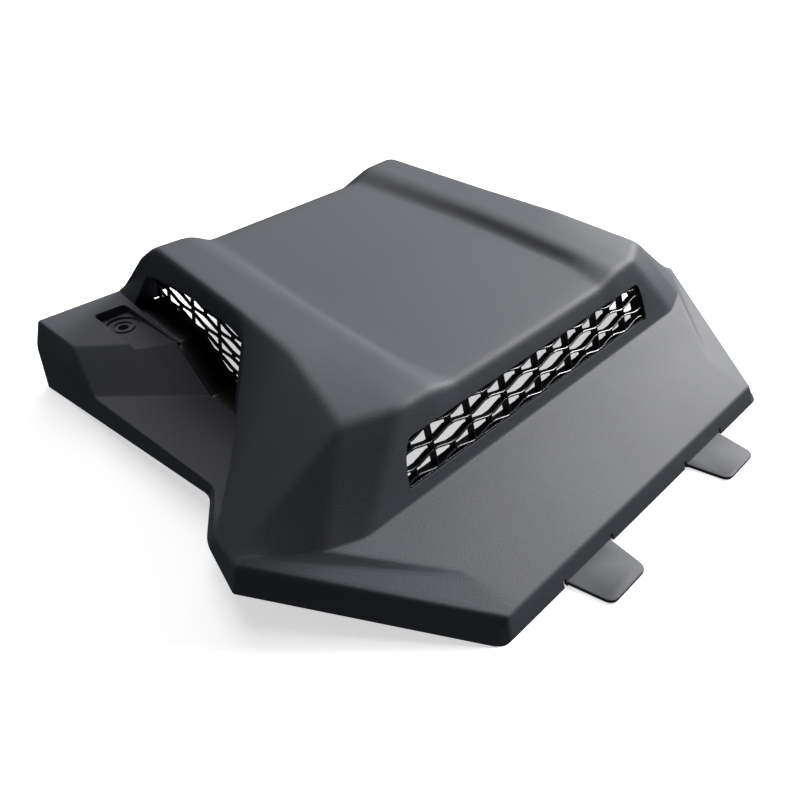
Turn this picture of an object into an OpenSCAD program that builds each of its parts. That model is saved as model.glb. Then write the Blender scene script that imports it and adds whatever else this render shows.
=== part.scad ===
// Bonnet scoop: a moulded hood panel for a small off-road car, with a raised
// scoop, three honeycomb grilles, two quarter-turn fastener pockets and two
// front tabs. The front edge lies along X, the rear is at +Y, and the panel
// stands on its front rim and rear corners.

/* [Panel] */
// Width of the straight front edge
front_w = 480; // [440:5:520]
// Distance from the front edge to the rear edge
panel_len = 627; // [610:1:650]
// Wall thickness of the moulding
wall = 3.5; // [2.5:0.25:4.5]
// Height of the folded rim along the front and sides
rim_h = 22; // [18:1:26]
// Half width at the tip of the flared corner
flare_x = 372; // [362:1:384]
// Distance from the front edge to the tip of the flared corner
flare_y = 185; // [176:1:194]
// Height of the rim's lower edge at the flared corner
flare_z = 33; // [24:1:40]
// Half width over the wings
wing_x = 307.5; // [300:0.5:318]

/* [Scoop] */
// Distance from the front edge to the foot of the front wall
wall_y = 133; // [126:1:140]
// Height of the foot of the front wall
wall_z = 55.7; // [52:0.1:60]
// Distance from the front edge to the front of the roof
roof_y = 160; // [154:1:166]
// Height of the ridges at the front of the roof
ridge_front_z = 143; // [138:1:150]
// Height of the ridges at the rear of the roof
ridge_rear_z = 168.8; // [162:0.2:176]
// Distance from the front edge to the rear of the roof
roof_rear_y = 535; // [525:1:545]
// Half width over the ridges at the rear of the roof
ridge_x = 190; // [184:1:196]
// Half width of the flat middle of the roof
deck_x = 116; // [108:1:122]
// Depth of the roof's middle below the ridges
deck_drop = 13.5; // [8:0.5:18]

/* [Wings] */
// Height of the wing platform at its outer rear corner
wing_rear_z = 88; // [84:1:92]
// Half width from one inner wing edge to the other at the rear
sill_x = 194; // [191:0.5:198]
// Outward drift of the inner wing edge towards the front, per millimetre
sill_drift = 0.0916; // [0.08:0.002:0.105]

/* [Front grille] */
// Half width of the front opening along its lower edge
window_x = 206; // [198:1:212]
// Height of the front opening, measured up the wall
window_h = 48; // [44:0.5:54]
// Distance up the wall from its foot to the opening
window_foot = 13; // [10:0.5:16]
// Length of one large cell, the same in all grilles
cell_p = 54.7; // [48:0.1:60]
// Thickness of the grille ribs
rib_t = 2.2; // [1.6:0.1:3]
// Depth of the grille ribs
rib_d = 9; // [6:0.5:12]

/* [Side grilles] */
// Depth of the side opening's upper edge below the rear end of the ridge
side_drop = 33.8; // [30:0.2:38]
// Distance from the inner wing edge in to the side grille
side_in = 32; // [26:1:38]
// Depth of the side grilles' ribs
side_rib_d = 4; // [3:0.5:8]
// Slope of the cell rows down towards the front
row_tilt = 8.2; // [6:0.2:10]

/* [Fastener pockets] */
// Bore for the quarter-turn fastener
bore_d = 12; // [9:0.5:16]
// Diameter of the sunk seat round the bore
seat_d = 40; // [34:1:42]
// Depth of the sunk seat
seat_depth = 2.5; // [1.5:0.5:4]
// Height of the pocket floor
pocket_z = 72; // [68:0.5:75]

/* [Front tabs] */
// Width of a tab at its root
tab_w = 73.5; // [60:0.5:80]
// Length of a tab beyond the front edge
tab_len = 42; // [30:1:50]
// Distance from the middle of the panel to the middle of a tab
tab_x = 110; // [90:1:130]

/* [Screws] */
// Thread diameter of the grille screws
screw_d = 4; // [3:0.5:5]
// Length of the grille screws under the head
screw_len = 12; // [10:1:14]

/* [Hidden] */

panel_colour = "#4a4a4e";
grille_colour = "#222224";
screw_colour = "#8a8c90";

eps = 0.01;
fit = 0.3;                       // clearance between a grille and the panel
middle_y = (panel_len - tab_len) / 2;   // puts the origin under the middle

// Vector helpers
function unit(v) = v / norm(v);
function mix(a, b, t) = a + (b - a) * t;
function mirror_x(p) = [-p[0], p[1], p[2]];
function reversed(list) = [for (i = [len(list) - 1:-1:0]) list[i]];
function at_y(a, b, y) = mix(a, b, (y - a[1]) / (b[1] - a[1]));

// Corners of the outer edge on the right-hand half, upper and lower
rim_in = 7.6;
front_low = [front_w / 2, 0, 0];
front_up = [front_w / 2 - 13.2, rim_in, rim_h];
flare_low = [flare_x, flare_y, flare_z];
flare_up = [flare_x - 8, flare_y + 3, flare_z + rim_h + 2];
notch_low = [flare_x - 22, flare_y + 67, flare_z - 3];
notch_up = [flare_x - 17, flare_y + 46, flare_z + rim_h - 2];
side_low = [wing_x, flare_y + 119, flare_z - 8];
side_up = [wing_x + 1.5, flare_y + 106, flare_z + rim_h - 9];
rear_low = [wing_x, panel_len, 0];
rear_up = [wing_x - 8.5, panel_len - 3, wing_rear_z];
fold_z = wing_rear_z - 31;
hem_z = wing_rear_z - 26;

// Corners of the front apron and its crease
apron_slope = (wall_z - rim_h) / (wall_y - rim_in);
crease_y = 60.5;
crease_tip = [front_w / 2 - 16, crease_y, rim_h + apron_slope * (crease_y - rim_in)];
wall_end = [front_w / 2 + 24.8, wall_y, wall_z];
cheek_low = [front_w / 2 + 62, wall_y + 12, wall_z + 3.3];

// Corners of the roof and its ridges, spread over the roof's length
roof_len = roof_rear_y - roof_y;
function back(share) = roof_y + share * roof_len;
side_top_z = ridge_rear_z - side_drop;
deck_front_z = ridge_front_z - 8.7;
deck_rear_z = ridge_rear_z - deck_drop;
roof_end = [ridge_x + 2, roof_y, ridge_front_z];
cheek_up = [ridge_x + 53, roof_y + 24, ridge_front_z - 4];
shoulder = [
    cheek_up,
    [ridge_x + 24, back(0.3253), ridge_rear_z - 10.8],
    [ridge_x + 21, back(0.408), ridge_rear_z - 9.4],
    [ridge_x + 17.5, back(0.5067), ridge_rear_z - 7.8],
    [ridge_x, roof_rear_y, ridge_rear_z]
];
deck_line = [
    [0, roof_y - 2.5, deck_front_z], [0, back(0.4747), deck_front_z + 12.5],
    [0, roof_rear_y - 5, deck_rear_z]
];
foot_line = [
    [deck_x + 8, roof_y - 2, deck_front_z + 0.7],
    [deck_x + 23, back(0.1467), deck_front_z + 4.5],
    [deck_x + 21, back(0.4747), deck_front_z + 12.5],
    [deck_x, roof_rear_y - 5, deck_rear_z]
];
crest_line = [
    [ridge_x - 38, roof_y - 1.4, ridge_front_z - 1],
    [ridge_x - 39, back(0.1467), ridge_front_z + 6.5],
    [ridge_x - 41, back(0.4933), ridge_rear_z - 9.8],
    [ridge_x - 48, roof_rear_y - 1.2, ridge_rear_z - 0.4]
];

// Edges of the wing: the inner edge with its two creases, and the outer one
rear_y = panel_len - 1;
crease_a = back(0.888);
crease_b = back(0.7173);
sill_front = back(0.5733);
crease_a_out = [wing_x - 11.5, crease_a + 61.5, wing_rear_z - 6];
crease_b_out = [wing_x + 0.8, crease_b + 77, flare_z + 10];
rim_line = [
    [0, sill_front, flare_z],
    [0, crease_b, flare_z - 1],
    [0, crease_a, wing_rear_z - 15],
    [0, rear_y, wing_rear_z - 4]
];
top_line = [
    [ridge_x + 19, sill_front - 19, side_top_z - 6],
    [ridge_x + 14, sill_front + 13, side_top_z],
    [ridge_x + 9.7, crease_b + 1, side_top_z + 1],
    [ridge_x + 4, crease_a, side_top_z],
    [ridge_x + 0.3, roof_rear_y + 5, side_top_z - 5.5],
    [ridge_x - 2.2, roof_rear_y + 39, side_top_z - 15]
];

gap_end = mix(roof_rear_y, rear_y, 0.714);       // rear end of the side opening's lower edge

// Point of a line of points at a distance from the front edge
function on(line, y, i = 0) =
    (i >= len(line) - 2 || y <= line[i + 1][1])
        ? at_y(line[i], line[i + 1], y)
        : on(line, y, i + 1);
function rim(y) = [sill_x + sill_drift * (rear_y - y), y, on(rim_line, y)[2]];
function low(y) = at_y(side_low, rear_low, y);
function ridge(y) = [
    on(deck_line, y),
    on(foot_line, y),
    on(crest_line, y),
    mix(on(crest_line, y), on(shoulder, y), 0.5),
    on(shoulder, y)
];
function edge(up, lower) = [up, mix(up, lower, 0.5), lower];
function across(a, b, share) = mix(a, b, share);
function flat_row(xs, y, z) = [for (x = xs) [x, y, z]];

// Rows of the outer surface from the front rim to the rear hem. Each row runs
// from the middle out: deck, ridge foot, crest, ridge top, shoulder, upper edge
// of the side opening, wing edge, then the folded rim.
flare_in = flare_up + 0.05 * (cheek_up - flare_up) + 0.05 * (cheek_low - flare_up);
turn = unit(notch_up - flare_up) * 9;
turn_low = unit(notch_low - flare_low) * 9;
flare_next = flare_up + 0.05 * (cheek_up - flare_up) + turn;
notch_in = mix(notch_up, shoulder[1], 0.05);
half_shoulder = mix(cheek_up, shoulder[1], 0.38);
strip_up = mix(front_up, flare_up, 0.293);
strip_low = mix(front_low, flare_low, 0.3);
corner_low = mix(front_low, flare_low, 0.045);
side_a = mix(notch_up, side_up, 0.42);
foot_a = [flare_x - 46, flare_y + 74, flare_z + 15];
foot_b = [flare_x - 99, flare_y + 128, flare_z + 8];
wing_front = mix(side_up, crease_b_out, 0.321);
wing_next = mix(side_up, crease_b_out, 0.53);
wing_a = mix(crease_a_out, rear_up, 0.396);
wing_b = mix(crease_a_out, rear_up, 0.741);
low_b = low(crease_b_out[1] + 2);

rows = [
    concat(flat_row([0, deck_x + 4, deck_x + 34, mix(deck_x + 34, front_w / 2 - 28, 0.57),
                     front_w / 2 - 28, front_w / 2 - 23,
                     front_w / 2 - 18, front_w / 2 - 7], 0, 0),
           [[front_w / 2 - 2.5, 0.2, 0], mix(front_low, flare_low, 0.01)]),
    concat(flat_row([0, deck_x + 4, deck_x + 34, mix(deck_x + 34, front_w / 2 - 30, 0.58),
                     front_w / 2 - 30, front_w / 2 - 26,
                     front_w / 2 - 22], rim_in, rim_h),
           edge(front_up, corner_low)),
    concat(flat_row([0, deck_x + 6, deck_x + 36, mix(deck_x + 36, crease_tip[0], 0.6)],
                    crease_y, crease_tip[2]),
           [crease_tip, mix(crease_tip, strip_up, 0.07), mix(crease_tip, strip_up, 0.14)],
           edge(strip_up, strip_low)),
    concat(flat_row([0, deck_x + 8, deck_x + 36], wall_y, wall_z),
           [wall_end, cheek_low, mix(cheek_low, flare_in, 0.3), flare_in],
           edge(flare_up, flare_low)),
    [deck_line[0], foot_line[0], crest_line[0], roof_end, cheek_up,
     mix(cheek_up, flare_next, 0.25), flare_next,
     each edge(flare_up + turn, flare_low + turn_low)],
    concat([on(deck_line, foot_line[1][1]), foot_line[1], crest_line[1],
            mix(roof_end, mix(on(crest_line, shoulder[1][1]), shoulder[1], 0.5), 0.45), half_shoulder,
            mix(half_shoulder, mix(flare_next, notch_in, 0.5), 0.25),
            mix(flare_next, notch_in, 0.5)],
           edge(mix(flare_up + turn, notch_up, 0.5), mix(flare_low + turn_low, notch_low, 0.5))),
    concat(ridge(shoulder[1][1]), [mix(shoulder[1], notch_in, 0.25), notch_in],
           edge(notch_up, notch_low)),
    concat(ridge(shoulder[2][1]), [mix(shoulder[2], foot_a, 0.25), foot_a],
           edge(side_a, mix(notch_low, side_low, 0.45))),
    concat(ridge(shoulder[3][1]), [mix(shoulder[3], foot_b, 0.25), foot_b],
           edge(side_up, side_low)),
    concat(ridge(sill_front - 3), [top_line[0], rim(sill_front)],
           edge(wing_front, mix(side_low, low_b, 0.314))),
    concat(ridge(sill_front + 15), [top_line[1], rim(sill_front + 17)],
           edge(wing_next, mix(side_low, low_b, 0.52))),
    concat(ridge(crease_b), [top_line[2], rim(crease_b)], edge(crease_b_out, low_b)),
    concat(ridge(crease_a), [top_line[3], rim(crease_a), crease_a_out],
           [[wing_x, crease_a_out[1] + 1, fold_z], low(crease_a_out[1] + 2)]),
    [deck_line[2], foot_line[3], crest_line[3],
     mix(crest_line[3], shoulder[4], 0.5), shoulder[4], top_line[4], rim(roof_rear_y + 1), wing_a,
     [wing_x, wing_a[1] + 1, fold_z], low(wing_a[1] + 2)],
    [[0, roof_rear_y + 27, deck_rear_z - 22], [deck_x, roof_rear_y + 27, deck_rear_z - 22],
     [ridge_x - 48, roof_rear_y + 28, deck_rear_z - 13],
     [ridge_x - 24, roof_rear_y + 29, ridge_rear_z - 23],
     [ridge_x + 1, roof_rear_y + 30, ridge_rear_z - 22], top_line[5], rim(gap_end),
     wing_b, [wing_x, wing_b[1] + 1, fold_z], low(wing_b[1] + 2)],
    concat(flat_row([0, deck_x, ridge_x - 48, ridge_x - 24, sill_x - 10, sill_x - 5],
                    panel_len, rim_line[3][2]),
           [rim(rear_y), rear_up, [wing_x, panel_len - 0.5, fold_z], rear_low]),
    concat(flat_row([0, deck_x, ridge_x - 48, ridge_x - 24, sill_x - 10, sill_x - 5, sill_x,
                     wing_x - 25], panel_len, hem_z),
           [[wing_x - 20, panel_len, hem_z / 2], [wing_x - 17, panel_len, 0]])
];

// How far each column and each row is softened at its corner, 0 for none
column_cut = [0, 12, 8, 5, 6, 0, 0, 3.5, 0, 0];
row_cut = [0, 3.5, 0, 5, 5, 0, 0, 0, 0, 0, 0, 7, 7, 10, 10, 4, 0];

// Softened surface
function pull(a, b, d) = (b - a) * min(0.4, d / norm(b - a));
function soften(p, cut) = [
    for (i = [0:len(p) - 1])
        each (cut[i] == 0
            ? [p[i]]
            : [p[i] + pull(p[i], p[i - 1], cut[i]), p[i] + pull(p[i], p[i + 1], cut[i])])
];
function turned(m) = [for (c = [0:len(m[0]) - 1]) [for (r = [0:len(m) - 1]) m[r][c]]];
function index(cut, i, n = 0) = (i == 0) ? n : index(cut, i - 1, n + (cut[i - 1] == 0 ? 1 : 2));
half = turned([for (col = turned([for (r = rows) soften(r, column_cut)])) soften(col, row_cut)]);
row_n = len(half);
half_n = len(half[0]);
last = 2 * half_n - 2;

// The side opening is left out between these rows and columns
gap_front = index(row_cut, 9);
gap_rear = index(row_cut, 14);
gap_column = index(column_cut, 5);
function left_out(r, c) =
    r >= gap_front && r < gap_rear
    && (c == half_n - 1 + gap_column || c == half_n - 2 - gap_column);
function solid_cell(r, c) = r >= 0 && c >= 0 && r < row_n - 1 && c < last && !left_out(r, c);

outer = [for (r = half) concat([for (c = [half_n - 1:-1:1]) mirror_x(r[c])], r)];
function cell_normal(r, c) =
    unit(cross(outer[r + 1][c + 1] - outer[r][c], outer[r + 1][c] - outer[r][c + 1]));
function add(list, i = 0) = (i == len(list) - 1) ? list[i] : list[i] + add(list, i + 1);
function normal(r, c) = unit(add([
    for (i = [r - 1, r], j = [c - 1, c])
        if (solid_cell(i, j))
            cell_normal(i, j)
]));
function level(v) = unit([v[0], v[1], 0]);
function at_foot(r, c) = r == 0 || r == row_n - 1 || c == 0 || c == last;
inner = [
    for (r = [0:row_n - 1]) [
        for (c = [0:last])
            outer[r][c] - wall * (at_foot(r, c) ? level(normal(r, c)) : normal(r, c))
    ]
];

// Corner numbers of the shell's faces
across_n = last + 1;
shift = row_n * across_n;
function num(r, c) = r * across_n + c;
function cell(r, c) = [num(r, c), num(r + 1, c), num(r + 1, c + 1), num(r, c + 1)];
function halves(f, right) =
    right ? [[f[0], f[1], f[3]], [f[1], f[2], f[3]]] : [[f[0], f[1], f[2]], [f[0], f[2], f[3]]];
function beside(r, c, k) =
    k == 0 ? solid_cell(r, c - 1)
    : k == 1 ? solid_cell(r + 1, c)
    : k == 2 ? solid_cell(r, c + 1)
    : solid_cell(r - 1, c);
function edge_faces(a, b) = [[b, a, a + shift], [b, a + shift, b + shift]];
shell_faces = [
    for (r = [0:row_n - 2], c = [0:last - 1])
        if (solid_cell(r, c))
            let (f = cell(r, c), t = halves(f, c >= half_n - 1))
                each concat(
                    t,
                    [for (q = t) [q[2] + shift, q[1] + shift, q[0] + shift]],
                    [for (k = [0:3])
                        if (!beside(r, c, k))
                            each edge_faces(f[k], f[(k + 1) % 4])])
];
shell_points = concat([for (r = outer) each r], [for (r = inner) each r]);

// The bare moulding, before its openings and fittings
module shell() {
    polyhedron(points = shell_points, faces = shell_faces, convexity = 10);
}

// Frames of reference: up the leaning front wall, and along a wing's inner edge
wall_lean = atan((roof_y - 2.5 - wall_y) / (deck_front_z - wall_z));
drift = atan(sill_drift);
module on_wall() {
    translate([0, wall_y, wall_z])
        rotate([90 - wall_lean, 0, 0])
            children();
}
module at_rim() {
    translate([sill_x, rear_y, 0])
        rotate([0, 0, drift])
            children();
}
module both() {
    children();
    mirror([1, 0, 0])
        children();
}

// Front opening, with its ends leaning in and its upper corners rounded
module window(grow = 0) {
    h = window_h + 2 * grow;
    half_w = window_x + grow;
    translate([0, window_foot - grow])
        polygon(concat(
            [[-half_w + 1.6, 0], [half_w - 1.6, 0], [half_w, 4]],
            [[half_w - 1.6, h * 0.36], [half_w - 4, h * 0.62], [half_w - 8.3, h * 0.86],
             [half_w - 11.5, h * 0.96], [half_w - 16, h]],
            [[-half_w + 16, h], [-half_w + 11.5, h * 0.96], [-half_w + 8.3, h * 0.86],
             [-half_w + 4, h * 0.62], [-half_w + 1.6, h * 0.36], [-half_w, 4]]));
}

// Fastener pockets in the wings
pocket_x = sill_x + 32.5;
pocket_back = rear_y - 32;
pocket_y = pocket_back - seat_d / 2 - 6;
pocket_left = pocket_x + seat_d / 2 + 0.5;
pocket_right = pocket_x - seat_d / 2 - 0.5;
floor_t = 9;
slope_b = (rim(crease_a)[2] - rim(crease_b)[2]) / (crease_a - crease_b);
function crease_at(x) = mix(rim(crease_a), crease_a_out,
    (x - rim(crease_a)[0]) / (crease_a_out[0] - rim(crease_a)[0]));
function floor_front(x) =
    [x, crease_at(x)[1] - (crease_at(x)[2] - pocket_z) / slope_b + 0.5];
module pocket_plan(front_right, front_left) {
    polygon([front_right, front_left, [pocket_left + wall, pocket_back + 5],
             [pocket_right - wall, pocket_back + 5]]);
}
module pocket_body() {
    low_z = pocket_z - seat_depth - floor_t;
    translate([0, 0, low_z])
        linear_extrude(height = seat_depth + floor_t)
            pocket_plan(floor_front(pocket_right - wall), floor_front(pocket_left + wall));
    intersection() {
        translate([0, 0, low_z])
            linear_extrude(height = 40)
                pocket_plan(
                    [pocket_right - wall, crease_at(pocket_right - wall)[1] + 1],
                    [pocket_left + wall, crease_at(pocket_left + wall)[1] + 1]);
        translate([pocket_right - wall - 1, 0, 0])
            rotate([90, 0, 90])
                linear_extrude(height = pocket_left - pocket_right + 2 * wall + 2)
                    polygon([[crease_a - 10, rim(crease_a - 0.01)[2] - 1.4],
                             [rear_y, rim(rear_y)[2] - 0.6], [rear_y, 0], [crease_a - 10, 0]]);
    }
}
module pocket_cut() {
    translate([pocket_right, crease_b, pocket_z])
        cube([pocket_left - pocket_right, pocket_back - crease_b, 40]);
    translate([pocket_x, pocket_y, pocket_z - seat_depth])
        cylinder(h = 40, d = seat_d);
    translate([pocket_x, pocket_y, pocket_z - 30])
        cylinder(h = 40, d = bore_d);
}

// Return that closes the rear end of a side opening, from the wing's edge in
// behind the grille, with a ledge under the end of the sill
return_t = 3;
return_in = side_in - 2;
module bar(y, z, x, h, deeper = 0) {
    translate([-return_in - deeper, along(y), z])
        cube([return_in + deeper + x, return_t, h]);
}
module rear_return() {
    top = top_line[5];
    end_y = gap_end + 1.5;
    end_z = rim(gap_end)[2] - 1.5;
    deeper = side_rib_d + 8;
    ledge_z = rim(top[1] - 2)[2] - sill_drop - sill_t - 3.3;
    at_rim() {
        hull() {
            bar(top[1] + 3.2, top[2] - 1.5, top[0] - rim(top[1])[0] - 1.6, 1);
            bar(end_y, end_z, -1.6, 1, deeper);
        }
        hull() {
            bar(end_y, end_z, -1.6, 1, deeper);
            bar(end_y, ledge_z, pocket_right - rim(gap_end)[0] - 1.5, 2.5, deeper);
        }
        translate([-return_in, along(top[1] - 2), ledge_z])
            cube([return_in + pocket_right - rim(top[1])[0] - 1, gap_end - top[1] + 5, 2.5]);
    }
}

// Front tabs with a relief notch at each side of the root
tab_t = 4;
tab_r = 9;
module tab_shape() {
    hull() {
        translate([-tab_w / 2, 0])
            square([tab_w, 3]);
        for (x = [tab_r - tab_w / 2 + 8, tab_w / 2 - tab_r - 7])
            translate([x, tab_r - tab_len])
                circle(r = tab_r, $fn = 48);
    }
}
module tab() {
    translate([tab_x, 0, 0])
        linear_extrude(height = tab_t)
            tab_shape();
}
module tab_notches() {
    for (side = [-1, 1])
        translate([tab_x + side * (tab_w / 2 + 2.5) - 2.5, -5, -1])
            cube([5, 12, 9]);
}

// Screw bosses behind the front wall and inside the scoop's sides. An ear of
// the grille lies on each boss and the screw's head on the ear.
boss_d = 9;
ear_t = 3;
boss_h = screw_len - 1;
pilot = screw_len - ear_t + 0.8;
play = 0.1;
screw_high = window_foot + window_h + 10.5;
wall_screws = [[-window_x - 11, 27], [-120, screw_high], [0, screw_high], [120, screw_high],
               [window_x + 11, 27]];
side_screws = [sill_front + 45, crease_a + 17];
side_screw_z = side_top_z + 13;
side_gap = sill_x + sill_drift * (rear_y - roof_rear_y) - ridge_x;
function along(y) = (y - rear_y) * norm([1, sill_drift]);
module wall_bosses() {
    on_wall()
        for (p = wall_screws)
            translate([p[0], p[1], -wall - boss_h])
                cylinder(h = boss_h + 1, d = boss_d);
}
module pilot_hole() {
    translate([0, 0, -1])
        cylinder(h = pilot + 1, d = screw_d + 2 * play);
}
module wall_pilots() {
    on_wall()
        for (p = wall_screws)
            translate([p[0], p[1], -wall - boss_h])
                pilot_hole();
}
module side_bosses() {
    at_rim()
        for (y = side_screws)
            translate([-side_in, along(y), side_screw_z])
                rotate([0, 90, 0])
                    cylinder(h = side_in - side_gap - 1, d = boss_d);
}
module side_pilots() {
    at_rim()
        for (y = side_screws)
            translate([-side_in, along(y), side_screw_z])
                rotate([0, 90, 0])
                    pilot_hole();
}

module scoop_panel() {
    color(panel_colour)
        difference() {
            union() {
                shell();
                wall_bosses();
                both() {
                    pocket_body();
                    rear_return();
                    side_bosses();
                    tab();
                }
            }
            on_wall()
                translate([0, 0, -20])
                    linear_extrude(height = 40)
                        window();
            wall_pilots();
            both() {
                pocket_cut();
                side_pilots();
                tab_notches();
            }
        }
}

// Honeycomb of long cells. Even rows hold whole cells between two nodes, odd
// rows hold cells split by a bar at every node.
module honeycomb(step, swing, cells, level_rows) {
    flat = 0.07;
    for (j = [-level_rows:level_rows - 1]) {
        s = (abs(j) % 2 == 0) ? 1 : -1;
        mid = (j + 0.5) * step;
        line = [
            for (n = [-cells:cells - 1])
                each [[n + flat, -1], [n + 0.5 - flat, 1], [n + 0.5 + flat, 1], [n + 1 - flat, -1]]
        ];
        top = [for (p = line) [p[0] * cell_p, mid + s * p[1] * swing + rib_t / 2]];
        bottom = [for (p = line) [p[0] * cell_p, mid + s * p[1] * swing - rib_t / 2]];
        polygon(concat(top, reversed(bottom)));
    }
    for (n = [-cells:cells])
        translate([n * cell_p - rib_t / 2, -level_rows * step])
            square([rib_t, 2 * level_rows * step]);
    for (n = [-cells:cells - 1], j = [-level_rows + 1:level_rows - 1])
        if (abs(j) % 2 == 1)
            translate([(n + 0.5) * cell_p - rib_t / 2, (j - 0.5) * step + swing])
                square([rib_t, step - 2 * swing]);
}

// Front grille, held behind the front wall
recess = 2;
lip_t = 1.5;
front_step = 13.4;
front_swing = 2.2;
ring_w = 4;
ear_back = wall + boss_h + ear_t;
module ear_shape(size, hole) {
    difference() {
        translate(size[0])
            square(size[1]);
        translate(hole)
            circle(d = screw_d + 0.6, $fn = 32);
    }
}
module front_grille() {
    top = window_foot + window_h;
    color(grille_colour)
        on_wall() {
            translate([0, 0, -recess - rib_d])
                linear_extrude(height = rib_d)
                    intersection() {
                        window(-fit);
                        translate([0, window_foot + window_h / 2])
                            honeycomb(front_step, front_swing, 4, 2);
                    }
            translate([0, 0, -ear_back])
                linear_extrude(height = ear_back - recess)
                    difference() {
                        window(-fit);
                        window(-fit - lip_t);
                    }
            translate([0, 0, -ear_back])
                linear_extrude(height = ear_back - wall - lip_t)
                    difference() {
                        window(ring_w);
                        window(-fit - lip_t);
                    }
            translate([0, 0, -ear_back])
                linear_extrude(height = ear_t)
                    for (p = wall_screws)
                        if (p[1] > top)
                            ear_shape([[p[0] - 8, top + 1], [16, p[1] - top + 4]], p);
                        else
                            ear_shape([[(p[0] > 0 ? window_x - 2 : p[0] - 6), p[1] - 8],
                                       [abs(p[0]) - window_x + 8, 16]], p);
        }
}

// Side grille with its sill, which carries the wing's creases inwards. Drawn
// for the right-hand side and turned over for the left.
sill_drop = 2;
sill_t = 3.3;
sill_gap = 1.5;
tongue_w = 8;
tongue_t = 2.5;
tongue_drop = 6.5;
grille_end = roof_rear_y + 51;
side_step = 12.5;
side_swing = 1.7;
cell_y = mix(crease_b, crease_a, 0.375);
cell_z = side_top_z - 48;
sill_line = [
    for (y = [sill_front + 3, crease_b, crease_a, grille_end])
        [along(y), on(rim_line, y)[2] - sill_drop]
];
tongue_line = [
    for (y = [sill_front + 12, crease_b, floor_front(pocket_right - wall)[1] - 1.5])
        [along(y), on(rim_line, y)[2] - sill_drop - tongue_drop]
];
web_line = [for (p = tongue_line) [p[0], p[1] + tongue_drop - sill_t + 0.1]];
side_outline = concat(sill_line, [
    for (p = [[grille_end, 0.379], [grille_end - 11, 0.72]])
        [along(p[0]), mix(on(rim_line, p[0])[2] - sill_drop, side_top_z, p[1])],
    for (p = [[grille_end - 41, -2], [crease_a + 7, 4], [crease_b + 1, 5], [sill_front + 13, 4],
              [sill_front - 23, -8], [sill_front - 23, -40], [sill_front + 3, flare_z - 4 - side_top_z]])
        [along(p[0]), side_top_z + p[1]]
]);
module slab(line, t) {
    polygon(concat(line, reversed([for (p = line) [p[0], p[1] - t]])));
}
module sideways(x0, x1) {
    translate([x0, 0, 0])
        rotate([90, 0, 90])
            linear_extrude(height = x1 - x0)
                children();
}
module outline_frame(points, w) {
    n = len(points);
    for (i = [0:n - 1])
        let (a = points[i], b = points[(i + 1) % n], d = b - a)
            translate(a)
                rotate(atan2(d[1], d[0]))
                    translate([-w / 4, -w / 2])
                        square([norm(d) + w / 2, w]);
}
module sill() {
    difference() {
        at_rim()
            sideways(-side_in - 1, -sill_gap)
                slab(sill_line, sill_t);
        // The sill steps in beside the fastener pocket
        translate([pocket_right - wall - 0.4, floor_front(pocket_right - wall)[1] - 1, 0])
            cube([20, pocket_back, 200]);
    }
}
module side_grille() {
    color(grille_colour) {
        sill();
        at_rim() {
            sideways(-tongue_w, tongue_w)
                slab(tongue_line, tongue_t);
            sideways(-tongue_w, -tongue_w + tongue_t)
                slab(web_line, tongue_drop);
            sideways(-side_in - side_rib_d, -side_in) {
                intersection() {
                    polygon(side_outline);
                    translate([along(cell_y), cell_z])
                        rotate(row_tilt)
                            honeycomb(side_step, side_swing, 4, 6);
                }
                outline_frame(side_outline, 3);
            }
            sideways(-side_in - ear_t, -side_in)
                for (y = side_screws)
                    ear_shape([[along(y) - 8, side_top_z], [16, 19]], [along(y), side_screw_z]);
        }
    }
}
module side_grille_left() {
    mirror([1, 0, 0])
        side_grille();
}
module side_grille_right() {
    side_grille();
}

// Grille screws, with their heads on the ears
head_d = 8;
head_h = 2.6;
module screw() {
    color(screw_colour)
        difference() {
            union() {
                translate([0, 0, -head_h])
                    cylinder(h = head_h, d = head_d);
                translate([0, 0, -eps])
                    cylinder(h = screw_len + eps, d = screw_d);
            }
            translate([0, 0, -head_h - 1])
                cylinder(h = 2.4, d = 3.6, $fn = 6);
        }
}
module front_grille_screws() {
    on_wall()
        for (p = wall_screws)
            translate([p[0], p[1], -ear_back])
                screw();
}
module side_screw_pair() {
    at_rim()
        for (y = side_screws)
            translate([-side_in - ear_t, along(y), side_screw_z])
                rotate([0, 90, 0])
                    screw();
}
module side_grille_screws_left() {
    mirror([1, 0, 0])
        side_screw_pair();
}
module side_grille_screws_right() {
    side_screw_pair();
}

module placed() {
    translate([0, -middle_y, 0])
        children();
}

placed() scoop_panel();
placed() front_grille();
placed() side_grille_left();
placed() side_grille_right();
placed() front_grille_screws();
placed() side_grille_screws_left();
placed() side_grille_screws_right();
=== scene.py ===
"""Bonnet scoop of a small off-road car: a moulded panel, three honeycomb grilles and their screws."""

import math

import bmesh
import bpy
from mathutils import Matrix, Vector


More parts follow.
